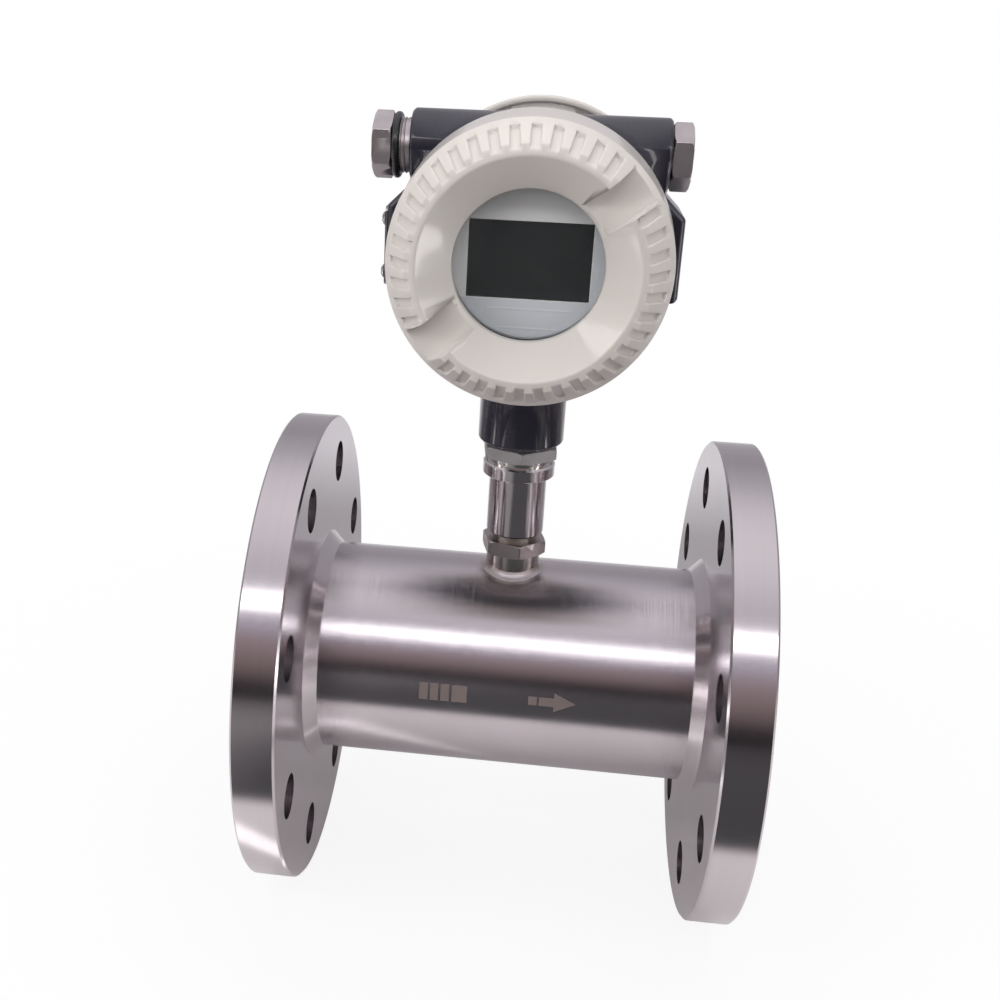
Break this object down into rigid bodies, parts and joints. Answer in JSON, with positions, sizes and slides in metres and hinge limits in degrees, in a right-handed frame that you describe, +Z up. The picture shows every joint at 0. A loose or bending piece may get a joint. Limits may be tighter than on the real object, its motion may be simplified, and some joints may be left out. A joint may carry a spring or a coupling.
{
  "type": "turbine flow meter",
  "caption": "Flanged turbine flow meter: steel pipe with flow straighteners and a bladed rotor, and an enamelled indicator head with a display window on a swivelling neck.",
  "frame": {"origin": "centre of the inlet flange's raised gasket face", "axes": "+X along the flow from inlet to outlet, +Z up the neck to the indicator head, -Y towards the display window"},
  "size_m": [0.2, 0.2, 0.3322],
  "materials": {
    "turned_stainless": "satin, brushed round the pipe",
    "flange_stainless": "lathe turned",
    "boss_stainless": "turned",
    "weld_metal": "rippled weld with a heat tint",
    "vane_stainless": "machined",
    "spring_steel": "spring steel",
    "carbide_bush": "sintered carbide",
    "ground_shaft": "ground",
    "rotor_stainless": "milled",
    "pickup_stainless": "turned",
    "magnet_plating": "plated",
    "copper_winding": "enamelled copper wire",
    "lock_nut_steel": "machined",
    "polished_steel": "mirror polished",
    "connector_steel": "polished",
    "rough_nut_steel": "matt, as cut",
    "dark_enamel": "glossy dark enamel on a casting",
    "post_brass": "turned",
    "circuit_board": "solder resist",
    "dial_film": "matt printed film",
    "display_face": "dark liquid crystal display",
    "terminal_plastic": "moulded",
    "plated_screw": "zinc plated",
    "lead_jacket": "soft cable jacket",
    "nickel_plate": "dull nickel plate",
    "black_rubber": "glossy black rubber",
    "bare_plate": "bare brushed sheet",
    "plate_screw": "domed, cross slotted",
    "window_glass": "clear toughened glass",
    "retainer_aluminium": "anodised",
    "cream_enamel": "glossy cream enamel on a casting"
  },
  "bodies": {
    "meter_body": {"body_tube": "turned_stainless", "inlet_flange": "flange_stainless", "outlet_flange": "flange_stainless", "sensor_boss": "boss_stainless", "boss_weld_bead": "weld_metal", "inlet_straightener": "vane_stainless", "outlet_straightener": "vane_stainless", "inlet_retaining_ring": "spring_steel", "outlet_retaining_ring": "spring_steel", "inlet_bearing": "carbide_bush", "outlet_bearing": "carbide_bush", "pickup_body": "pickup_stainless", "pickup_magnet": "magnet_plating", "pickup_coil": "copper_winding", "pickup_lock_nut": "lock_nut_steel", "neck_sleeve": "polished_steel", "neck_connector": "connector_steel", "head_lock_nut": "rough_nut_steel"},
    "rotor": {"turbine_rotor": "rotor_stainless", "rotor_shaft": "ground_shaft"},
    "head": {"housing_shell": "dark_enamel", "board_standoffs": "post_brass", "main_board": "circuit_board", "display_posts": "post_brass", "display_board": "circuit_board", "display_bezel": "dial_film", "lcd_panel": "display_face", "terminal_block": "terminal_plastic", "terminal_screws": "plated_screw", "pickup_lead": "lead_jacket", "left_plug": "nickel_plate", "left_plug_oring": "black_rubber", "right_plug": "nickel_plate", "right_plug_oring": "black_rubber", "nameplate": "bare_plate", "nameplate_screws": "plate_screw"},
    "window_insert": {"window_glass": "window_glass", "window_gasket": "black_rubber", "glass_retainer": "retainer_aluminium", "front_cover_oring": "black_rubber"},
    "front_cover": {"front_cover": "cream_enamel"},
    "rear_seal": {"rear_cover_oring": "black_rubber"},
    "rear_cover": {"rear_cover": "cream_enamel"}
  },
  "joints": [
    {"name": "rotor_spin", "type": "hinge", "parent": "meter_body", "child": "rotor", "pos_m": [0.1, 0, 0], "axis": [1, 0, 0], "continuous": true},
    {"name": "head_swivel", "type": "hinge", "parent": "meter_body", "child": "head", "pos_m": [0.1, 0, 0.1], "axis": [0, 0, 1], "range_deg": [-170, 170]},
    {"name": "front_cover_travel", "type": "slide", "parent": "head", "child": "window_insert", "axis": [0, -1, 0], "range_m": [0, 0.0101]},
    {"name": "front_cover_turn", "type": "hinge", "parent": "window_insert", "child": "front_cover", "pos_m": [0.1, -0.055, 0.18205], "axis": [0, -1, 0], "range_deg": [0, 1800]},
    {"name": "rear_cover_travel", "type": "slide", "parent": "head", "child": "rear_seal", "axis": [0, 1, 0], "range_m": [0, 0.0101]},
    {"name": "rear_cover_turn", "type": "hinge", "parent": "rear_seal", "child": "rear_cover", "pos_m": [0.1, 0.055, 0.18205], "axis": [0, 1, 0], "range_deg": [0, 1800]}
  ],
  "couplings": [
    {"joint": "front_cover_travel", "follows": "front_cover_turn", "m_per_rad": 0.0003183},
    {"joint": "rear_cover_travel", "follows": "rear_cover_turn", "m_per_rad": 0.0003183}
  ]
}
